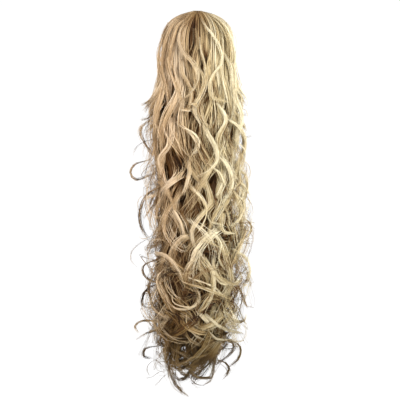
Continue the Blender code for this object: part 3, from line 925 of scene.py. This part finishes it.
FACE_CURLS = (
    # tone, half width, then the line that the curl follows: across and height, in mm
    (0.78, 6.0, (10, -138), (18, -161), (28, -186), (30, -208), (18, -226), (-5, -238)),
    (0.73, 3.8, (25, -222), (40, -236), (47, -254)),
    (0.80, 7.5, (30, -196), (44, -214), (53, -240), (51, -264), (40, -285)),
    (0.24, 7.5, (-60, -247), (-82, -270), (-89, -299), (-88, -327), (-79, -352)),
    (0.54, 7.5, (-44, -135), (-44, -159), (-49, -184), (-58, -205), (-54, -229)),
    (0.66, 3.8, (-37, -140), (-16, -154), (-2, -173), (0, -187), (-12, -201)),
    (0.54, 3.8, (-12, -200), (-11, -226), (-19, -254), (-28, -271)),
    (0.84, 6.0, (9, -229), (19, -261), (21, -284), (4, -308), (-7, -331), (-4, -354), (11, -378)),
    (0.47, 7.5, (-23, -250), (-33, -278), (-51, -303), (-54, -327), (-44, -352), (-33, -373)),
    (0.62, 4.5, (-12, -249), (4, -271), (16, -289)),
    (0.54, 4.5, (42, -289), (39, -313), (44, -333), (61, -334)),
    (0.58, 4.5, (-53, -420), (-51, -445), (-35, -464), (-12, -464), (2, -446), (-4, -425)),
    (0.54, 6.0, (16, -376), (25, -404), (23, -436), (11, -462), (-11, -480)),
    (0.47, 5.2, (-37, -399), (-18, -418), (18, -432), (54, -450)),
    (0.66, 7.5, (32, -376), (28, -397), (39, -417), (61, -422), (77, -406)),
    (0.62, 6.0, (65, -361), (77, -387), (81, -413), (70, -441)),
    (0.90, 6.0, (16, -474), (30, -492), (51, -504), (77, -511)),
    (0.21, 6.0, (18, -520), (42, -518), (53, -534), (44, -553), (25, -565)),
    (0.70, 5.2, (-51, -481), (-65, -502), (-82, -513), (-98, -522)),
    (0.75, 3.0, (-65, -488), (-86, -487), (-98, -497), (-91, -511)),
    (0.40, 4.5, (-68, -532), (-86, -537), (-88, -550), (-72, -555)),
    (0.50, 12.0, (-52, -522), (-48, -562), (-38, -590), (-25, -610), (-14, -620)),
    (0.54, 4.5, (-18, -481), (-18, -506), (-7, -523), (9, -530)),
    (0.24, 4.5, (-16, -571), (-2, -583), (18, -588)),
    (0.13, 3.8, (-79, -425), (-89, -443), (-88, -460), (-74, -467)),
    (0.70, 7.5, (49, -135), (66, -156), (75, -182), (68, -208)),
    (0.66, 6.8, (68, -217), (80, -240), (75, -270), (63, -287)),
    (0.47, 8.2, (-82, -135), (-88, -156), (-79, -182), (-68, -205)),
    (0.62, 6.0, (58, -261), (72, -284), (68, -310), (54, -327)),
    (0.51, 6.0, (5, -375), (-12, -387), (-19, -410), (-9, -431)),
    (0.17, 1.2, (-89, -205), (-105, -215), (-108, -229), (-96, -242), (-74, -233)),
    (0.24, 1.2, (74, -306), (87, -322), (86, -336), (72, -348)),
    (0.44, 5.0, (-84, -412), (-82, -425), (-72, -452), (-61, -471), (-43, -483)),
    (0.30, 1.5, (56, -516), (69, -534), (62, -556), (42, -572)),
    (0.34, 1.5, (36, -556), (47, -572), (40, -590)),
    (0.52, 5.0, (-70, -378), (-84, -392), (-80, -412), (-62, -420), (-46, -408)),
    (0.60, 4.0, (44, -470), (58, -486), (74, -488), (78, -474)),
    (0.70, 1.0, (-30, -123), (-20, -121), (-8, -122)),
    (0.70, 1.0, (-14, -113), (-4, -113), (1, -117)),
)
FACE_STEP = 0.0075
FACE_ARCH = 0.003
FACE_TUCK = 0.010
SPREAD_DIVISOR = 800


def surface_outline(z):
    """The outline of the hair's outer surface, crown and fall together."""
    crown = crown_outline(max(z, CROWN_HEM))
    if z >= CROWN_HEM:
        return crown
    share = smooth_share(z, CROWN_HEM, -0.17)
    return tuple(a + (b - a) * share for a, b in zip(crown, hair_outline(z)))


def surface_place(x, z, proud):
    """The point on the viewer's side of the surface at x and z, and the way out of it."""
    left, right, front, back = surface_outline(z)
    half, depth = (left + right) / 2, (front + back) / 2
    share = min(max((x - (right - left) / 2) / half, -1.0), 1.0)
    inward = math.sqrt(1 - share * share)
    away = Vector((share * depth, -inward * half, 0)).normalized()
    return Vector((x, (back - front) / 2 - depth * inward, z)) + away * proud, away


def smooth_line(points):
    """Points a few millimetres apart on a smooth curve through the given points."""
    ends = [points[0] * 2 - points[1], *points, points[-1] * 2 - points[-2]]
    line = []
    for a, b, c, d in zip(ends, ends[1:], ends[2:], ends[3:]):
        steps = max(2, round((c - b).length / FACE_STEP))
        for i in range(steps):
            t = i / steps
            line.append((
                2 * b + (c - a) * t + (2 * a - 5 * b + 4 * c - d) * t**2
                + (3 * b - a - 3 * c + d) * t**3
            ) / 2)
    return line + [points[-1]]


def face_lock(tone, half_width, *points, proud=0.006):
    """Guide points of a curl that follows a line on the viewer's side of the hair. Its
    root is tucked in and its middle stands proud, and its half width in mm fans it out."""
    line = smooth_line([Vector((x, z)) / 1000 for x, z in points])
    lock = []
    for i, point in enumerate(line):
        t = i / (len(line) - 1)
        arch = math.sin(math.pi * t)
        raised = proud + FACE_ARCH * arch - FACE_TUCK * (1 - smooth_share(t, 0, 0.2))
        raised += FACE_ARCH * math.sin(60 * point.y + 90 * points[0][0] / 1000)
        place, away = surface_place(point.x, point.y, raised)
        lock.append({
            "place": place,
            "away": away,
            "swing": 5 * t + 40 * points[0][0],
            "wave": 0.0015,
            "lift": 1.0,
            "loop": 0.6,
            "spread": half_width / SPREAD_DIVISOR * (0.7 + 0.4 * arch - 0.5 * t),
            "slim": tapered(t, root=0.4, full=0.2, thinning=0.6, loss=0.65),
            "tone": tone,
        })
    return lock


make_hair(
    "face_curls", [face_lock(*row) for row in FACE_CURLS], "mixed_hair", strands=36,
    strand_radius=0.00040, wander=0.005, hair=fall_hair, seed=19, tone_spread=0.55, bunch=2,
)

# Thin pale wisps, a few fibres each, lie over the face curls and catch the light.

PALE_WISPS = (
    # tone, half width, then the line that the wisp follows: across and height, in mm
    (0.85, 1.5, (-31, -398), (-10, -412), (20, -424), (42, -442)),
    (0.80, 1.5, (-55, -393), (-61, -420), (-53, -448), (-34, -470)),
    (0.90, 1.8, (36, -383), (28, -400), (37, -419), (60, -421), (71, -404)),
    (0.80, 1.2, (-18, -468), (-14, -492), (-2, -512), (14, -520)),
    (0.75, 1.2, (18, -498), (30, -518), (48, -520), (54, -532)),
    (0.85, 1.5, (-42, -440), (-32, -457), (-10, -462), (6, -448)),
    (0.70, 1.0, (-22, -562), (-10, -549), (10, -545), (26, -536)),
    (0.85, 1.2, (-31, -148), (-8, -160), (3, -178), (-4, -198)),
    (0.80, 1.2, (14, -213), (32, -228), (45, -252)),
    (0.90, 1.5, (37, -188), (50, -221), (53, -255), (36, -290)),
    (0.80, 1.2, (-53, -148), (-46, -180), (-59, -206), (-54, -238)),
    (0.80, 1.2, (62, -168), (73, -200), (66, -235), (75, -264)),
    (0.80, 1.2, (-2, -260), (15, -290), (11, -318), (-4, -340)),
    (0.75, 1.2, (-30, -345), (-44, -370), (-38, -396), (-20, -412)),
    (0.85, 1.2, (24, -330), (38, -352), (34, -376), (48, -398)),
)
make_hair(
    "pale_wisps", [face_lock(*row, proud=0.008) for row in PALE_WISPS], "mixed_hair", strands=9,
    strand_radius=0.00042, wander=0.004, hair=fall_hair, seed=43, bunch=2,
)


# The broad curls, the wide soft sheets of hair at both sides. Their fibres lie side by
# side in one flat bend that was set on a large roller, so they are smoother than the
# curls round them.

BROAD_CURLS = (
    # tone, half width, then the line that the sheet follows: across and height, in mm
    (
        0.60, 11, (-44, -20), (-54, -60), (-60, -100), (-68, -140), (-72, -175), (-64, -210),
        (-60, -240),
    ),
    (0.66, 9, (-30, -60), (-38, -100), (-52, -135), (-60, -170), (-58, -205), (-62, -235)),
    (0.80, 12, (48, -10), (56, -50), (62, -95), (70, -130), (64, -165), (70, -200)),
    (0.72, 9, (58, -120), (72, -155), (78, -190), (68, -225), (74, -260), (66, -295)),
    (0.70, 8, (38, -110), (46, -140), (36, -170), (42, -200)),
    (0.62, 9, (58, -250), (70, -290), (76, -330), (68, -370)),
    (0.50, 8, (-40, -330), (-56, -370), (-62, -410), (-48, -450), (-40, -480)),
    (0.62, 8, (30, -330), (44, -370), (56, -410), (50, -450)),
)
make_hair(
    "broad_curls", [face_lock(*row, proud=0.002) for row in BROAD_CURLS], "mixed_hair", strands=56,
    strand_radius=0.0005, wander=0.005, twist=0.15, hair=fall_hair, seed=37,
)


# The stray hairs, single fibres and thin wisps that have sprung loose of the curls and
# stand off the outline in open arcs.

STRAY_ARCS = (
    # tone, half width, then the line that the arc follows: across and height, in mm
    (0.20, 1.5, (-78, -338), (-96, -350), (-108, -368), (-107, -388), (-94, -400)),
    (0.80, 2.0, (-68, -332), (-84, -341), (-96, -344), (-106, -337)),
    (0.20, 1.2, (-76, -170), (-92, -177), (-103, -188), (-108, -202)),
    (0.15, 1.5, (-66, -214), (-84, -221), (-98, -232), (-92, -240)),
    (0.30, 1.2, (-80, -262), (-94, -276), (-98, -296), (-90, -312)),
    (0.20, 1.0, (72, -258), (86, -278), (93, -306)),
    (0.60, 1.5, (74, -203), (89, -217), (92, -234), (78, -247)),
    (0.50, 1.2, (68, -160), (82, -166), (94, -162)),
    (0.60, 1.2, (72, -112), (84, -120), (90, -134)),
    (0.30, 1.2, (-58, -573), (-78, -587), (-96, -586)),
    (0.25, 1.2, (-50, -578), (-64, -595), (-78, -604)),
    (0.20, 1.5, (-16, -586), (0, -600), (13, -597), (20, -584)),
    (0.30, 1.5, (34, -558), (46, -571), (50, -585), (40, -597)),
    (0.45, 1.5, (-70, -548), (-84, -566), (-78, -584), (-62, -590)),
)
make_hair(
    "stray_arcs", [face_lock(*row, proud=0.001) for row in STRAY_ARCS], "mixed_hair", strands=4,
    strand_radius=0.00042, wander=0.003, hair=fall_hair, seed=53, bunch=1,
)

dice = random.Random(131)
stray_locks = []
STRAY_COUNT = 60
for i in range(STRAY_COUNT):
    turn = dice.choice((-1, 1)) * dice.uniform(45, 115)
    top = -dice.uniform(0.08, 0.48)
    stray_locks.append(hanging_lock(
        turn,
        tip_turn=turn + dice.uniform(-15, 15),
        top=top,
        tip=max(top - dice.uniform(0.09, 0.2), -0.6),
        sunk=-dice.uniform(0.000, 0.006),
        reach=dice.uniform(0.9, 1.5),
        spread=0.0014,
        tone=dice.uniform(0.0, 0.6),
        swing=dice.uniform(0, FULL_TURN),
        hand=dice.choice((-1, 1)),
        loop=dice.choice((-1, 1)) * dice.uniform(0.4, 1.1),
        flick=dice.uniform(0.0, 0.008),
    ))
make_hair(
    "stray_hairs", stray_locks, "mixed_hair", strands=4, bunch=2, strand_radius=0.00042,
    wander=0.003, wave_spread=0.3, swing_spread=0.6, hair=fall_hair, seed=131,
)

# Every fourth loose fibre hangs on the wearer's side.
loose_locks = []
LOOSE_COUNT = 130
VIEWED_TURN = 110
for i in range(LOOSE_COUNT):
    turn = VIEWED_TURN * dice.uniform(-1, 1) if i % 4 else dice.uniform(VIEWED_TURN, 250)
    top = -dice.uniform(0.06, 0.45)
    loose_locks.append(hanging_lock(
        turn,
        tip_turn=turn + dice.uniform(-20, 20),
        top=top,
        tip=max(top - dice.uniform(0.1, 0.22), -0.59),
        sunk=dice.uniform(-0.004, 0.003),
        reach=dice.uniform(0.4, 1.1),
        spread=0.014,
        tone=dice.uniform(0.1, 0.95),
        swing=shared_swing(turn, 1) + dice.uniform(-1, 1),
        hand=dice.choice((-1, 1)),
        loop=dice.choice((-1, 1)) * dice.uniform(0.3, 0.9),
    ))
make_hair(
    "loose_fibres", loose_locks, "mixed_hair", strands=9, bunch=1, strand_radius=0.00034,
    wander=0.004, wave_spread=0.4, swing_spread=0.5, hair=fall_hair, seed=137,
)


# The crown, the short top layer that falls from a middle parting over the clip. Each
# side is combed smooth over the dome, hangs almost straight, and ends in flicked tips.

crown_hair = hair_finish("crown_hair_fibre")
CROWN_SIDES = (
    # name, side, how far the tips flare out, slot, seed
    ("crown_left", -1, 0.028, "tan_hair", 83),
    ("crown_right", 1, 0.018, "pale_hair", 97),
)
CROWN_STEPS = 27
DOME_SHARE = 0.36
CROWN_PITCH = 0.13
CROWN_LOCKS = 16
CROWN_FIRST_TURN = 10
CROWN_TURNS = 110
PARTING_TURNS = (2, 7, 12, 18, 26)
BASE_HEM = -0.066
BASE_SUNK = -0.0115
BASE_WALL = 0.003
BASE_COLUMNS = 31
BASE_ROWS = 25
BASE_LAST_TURN = 124
BASE_FIRST_SHARE = 0.08
# Crown locks sink a little in the hollows and are darkened there with painted shade.
CROWN_HOLLOW_DEPTH = 0.003
CROWN_HOLLOW_PAINTED_SHADE = 0.5
CROWN_FACE_LOCKS = (
    # tone, half width, then the line that the lock follows: across and height, in mm
    (
        0.72, 5.2, (-12, 42), (-26, 19), (-30, -4), (-21, -25), (-7, -44), (-2, -68),
        (-11, -91), (-35, -109),
    ),
    (0.47, 6.8, (-16, 44), (-35, 23), (-44, -7), (-46, -37), (-37, -68), (-28, -100), (-23, -124)),
    (0.62, 2.2, (3, 4), (4, -12), (8, -28), (14, -47), (16, -72), (9, -96)),
    (
        0.80, 4.5, (5, 47), (14, 23), (28, 2), (39, -21), (39, -42), (23, -63), (19, -82),
        (28, -100), (56, -107),
    ),
    (0.54, 9.0, (-19, 46), (-40, 30), (-53, 2), (-56, -33), (-53, -68), (-47, -103), (-51, -135)),
    (0.71, 10.5, (14, 49), (35, 33), (49, 5), (56, -33), (60, -77), (63, -117), (58, -147)),
    (0.24, 7.5, (-5, 19), (-2, -7), (-7, -33), (-2, -60), (5, -94), (2, -130)),
    (0.70, 5.2, (-2, -44), (11, -68), (7, -94), (-4, -121), (5, -147)),
    (0.58, 4.5, (-30, -33), (-25, -60), (-12, -82), (-9, -103), (-18, -135)),
    (0.51, 4.5, (-37, 49), (-52, 28), (-58, -7), (-61, -42), (-65, -77), (-77, -103), (-92, -124)),
    (0.73, 4.5, (24, 49), (45, 30), (54, -7), (60, -42), (66, -77), (74, -100), (86, -110)),
    (0.60, 9.0, (-50, -40), (-58, -72), (-69, -98), (-86, -117)),
    (0.54, 9.0, (-54, -66), (-64, -98), (-75, -124), (-88, -142)),
    (0.66, 3.0, (-58, -70), (-68, -94), (-81, -106), (-96, -109)),
    (0.50, 3.0, (-60, -92), (-72, -120), (-84, -133), (-98, -136)),
    (0.62, 2.5, (-60, -108), (-70, -136), (-82, -152), (-92, -162)),
    (0.70, 3.0, (56, -62), (64, -84), (74, -97), (85, -100)),
    (0.66, 3.0, (60, -92), (68, -114), (77, -126), (86, -128)),
    (0.62, 3.0, (62, -112), (70, -136), (78, -150), (84, -154)),
    (0.43, 6.0, (9, -100), (2, -117), (9, -138), (21, -156)),
)


def crown_place(turn, t, tip, proud):
    """A point of a combed crown strand, from the parting at t 0 to its tip at t 1."""
    if t < DOME_SHARE:
        z = CROWN_TOP * math.cos(math.radians(90) * t / DOME_SHARE) ** (2 / DOME_POWER)
    else:
        z = tip * (t - DOME_SHARE) / (1 - DOME_SHARE)
    return ring_point(surface_outline(z), turn, z, proud)


def crown_lock(turns, tip, spread, tone, swing, reach, flick, sunk=0.0045):
    """Guide points of one crown lock. turns are its turn at the parting, shoulder and tip."""
    first, shoulder, last = turns
    lock = []
    for i in range(CROWN_STEPS + 1):
        t = i / CROWN_STEPS
        turn = first + (shoulder - first) * smooth_share(t, 0, 0.4)
        turn += (last - shoulder) * smooth_share(t, 0.35, 1.0)
        edge = abs(math.sin(math.radians(turn)))
        proud = flick * smooth_share(t, 0.78, 1.0) - sunk - 0.003 * edge
        # In a hollow the lock sinks, and its tone takes painted shade.
        hollow = hollow_share(crown_place(turn, t, tip, 0))
        lock.append({
            "place": crown_place(turn, t, tip, proud - CROWN_HOLLOW_DEPTH * hollow),
            "away": outward(turn),
            "swing": swing + FULL_TURN * -tip / CROWN_PITCH * t,
            "wave": reach * smooth_share(t, 0.35, 0.85),
            "lift": 0.7,
            "loop": 0.0,
            "spread": spread * tapered(t, root=0.5, full=0.4, thinning=0.75, loss=0.6),
            "slim": tapered(t, root=0.8, full=0.2, thinning=0.75, loss=0.7),
            "tone": tone - CROWN_HOLLOW_PAINTED_SHADE * hollow,
        })
    return lock


def crown_base(name, side):
    """The combed under-layer of one side of the crown, a thin wall with an uneven hem."""
    columns = BASE_COLUMNS
    turns = [side * BASE_LAST_TURN * k / (columns - 1) for k in range(columns)]
    shares = [
        BASE_FIRST_SHARE + (1 - BASE_FIRST_SHARE) * i / (BASE_ROWS - 1) for i in range(BASE_ROWS)
    ]
    vertices = [
        crown_place(turn, t, BASE_HEM * (1 + 0.2 * math.sin(turn * 0.9)), BASE_SUNK)
        for t in shares for turn in turns
    ]
    faces = []
    for r in range(BASE_ROWS - 1):
        for k in range(columns - 1):
            here = r * columns + k
            face = [here, here + 1, here + columns + 1, here + columns]
            faces.append(face if side < 0 else face[::-1])
    mesh = bpy.data.meshes.new(name)
    mesh.from_pydata(vertices, [], faces)
    layout = mesh.uv_layers.new(name="UVMap")
    for loop in mesh.loops:
        row, column = divmod(loop.vertex_index, columns)
        layout.data[loop.index].uv = (column / columns, 1 - row / BASE_ROWS)
    mesh.shade_smooth()
    made = put_in_scene(name, mesh)
    wall = made.modifiers.new("wall", "SOLIDIFY")
    wall.thickness = BASE_WALL
    wall.offset = -1
    return made


base_hair = hair_finish("crown_base_fibre", tone=0.36, streaks=0.4)
for name, side, flare, slot, seed in CROWN_SIDES:
    dice = random.Random(seed)
    base = crown_base(name + "_base", side)
    base.data.materials.append(base_hair)
    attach(base, "root")
    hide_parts(name)
    locks = []
    for i in range(CROWN_LOCKS):
        turn = CROWN_FIRST_TURN + CROWN_TURNS * (i + dice.uniform(-0.3, 0.3)) / (CROWN_LOCKS - 1)
        opening = 1 - smooth_share(turn, CROWN_FIRST_TURN, 44)
        flared = smooth_share(turn, 50, 80)
        last = turn - 7 * opening + dice.uniform(-7, 7)
        shades = (0.35 + 0.2 * (1 - opening), 0.62, 0.7, 0.8)
        locks.append(crown_lock(
            (side * turn * 0.7, side * (turn + 7 * opening), side * last),
            tip=-dice.uniform(0.095, 0.185 - 0.055 * flared),
            spread=dice.uniform(0.0075, 0.0105),
            tone=dice.choice(shades) + dice.uniform(-0.08, 0.08),
            swing=shared_swing(side * turn, 1) + dice.uniform(-0.8, 0.8),
            reach=dice.uniform(0.006, 0.013),
            flick=flare * flared * dice.uniform(0.2, 1.0),
        ))
    for turn in PARTING_TURNS:
        locks.append(crown_lock(
            (side * turn, side * turn, side * turn * 1.2),
            tip=-dice.uniform(0.08, 0.11),
            spread=0.005,
            tone=dice.uniform(0.1, 0.42),
            swing=dice.uniform(0, FULL_TURN),
            reach=0.006,
            flick=0.0,
            sunk=0.0070,
        ))
    make_hair(
        name + "_hair", locks, slot, strands=28, strand_radius=0.0007,
        wander=0.0014, swing_spread=0.35, tone_spread=0.18, hair=crown_hair, seed=seed,
    )
make_hair(
    "crown_face_locks", [face_lock(*row, proud=0.002) for row in CROWN_FACE_LOCKS], "tan_hair",
    strands=34, strand_radius=0.00042, wander=0.0045, hair=crown_hair, seed=29, tone_spread=0.4,
    bunch=2,
)


# The floor, the light and the view. The floor is pale and plain, and the light is a large
# soft source from the upper right, a weaker one from the left, and a white room round them.

FLOOR_HEIGHT = -1.5
FLOOR_RADIUS = 40.0
FLOOR_GLOW = 0.65
ROOM_LIGHT = 0.5
ROOM_SEEN = 1.02
VIEW_CENTRE = Vector((0.005, -0.01, -0.281))
VIEW_WIDTH = 0.709
VIEW_DISTANCE = 3.2

bpy.ops.mesh.primitive_circle_add(
    vertices=64, radius=FLOOR_RADIUS, fill_type="NGON", location=(0, 0, FLOOR_HEIGHT)
)
floor = bpy.context.object
floor.name = "floor"
floor_finish, graph, shader = new_finish("pale_floor", 0.7)
shader.inputs["Base Color"].default_value = (0.9, 0.9, 0.9, 1.0)
shader.inputs["Emission Color"].default_value = (1.0, 1.0, 1.0, 1.0)
shader.inputs["Emission Strength"].default_value = FLOOR_GLOW
floor.data.materials.append(floor_finish)

room = bpy.data.worlds.new("white_room")
room.use_nodes = True
room.node_tree.nodes["Background"].inputs["Color"].default_value = (1.0, 1.0, 1.0, 1.0)
room_graph = Graph(room.node_tree)
seen = room_graph.node("ShaderNodeLightPath", output="Is Camera Ray")
sockets = {"Value": seen, "To Min": ROOM_LIGHT, "To Max": ROOM_SEEN}
strength = room_graph.node("ShaderNodeMapRange", sockets=sockets)
connect(strength, room.node_tree.nodes["Background"], "Strength")
bpy.context.scene.world = room

LAMPS = (
    # name, place, size, watts
    ("key", (1.3, -2.0, 0.9), 0.8, 70.0),
    ("fill", (-1.6, -1.8, 0.1), 1.4, 15.0),
)
for name, place, size, watts in LAMPS:
    lamp = bpy.data.lights.new(name, "AREA")
    lamp.shape = "DISK"
    lamp.size = size
    lamp.energy = watts
    holder = put_in_scene(name, lamp)
    holder.location = place
    holder.rotation_euler = (VIEW_CENTRE - Vector(place)).to_track_quat("-Z", "Y").to_euler()

lens = bpy.data.cameras.new("camera")
lens.sensor_width = 36.0
lens.lens = lens.sensor_width * VIEW_DISTANCE / VIEW_WIDTH
lens.clip_end = 200.0
camera = put_in_scene("camera", lens)
camera.location = VIEW_CENTRE + Vector((0, -VIEW_DISTANCE, 0))
camera.rotation_euler = (math.radians(90), 0, 0)
bpy.context.scene.camera = camera
bpy.context.scene.view_settings.view_transform = "Standard"
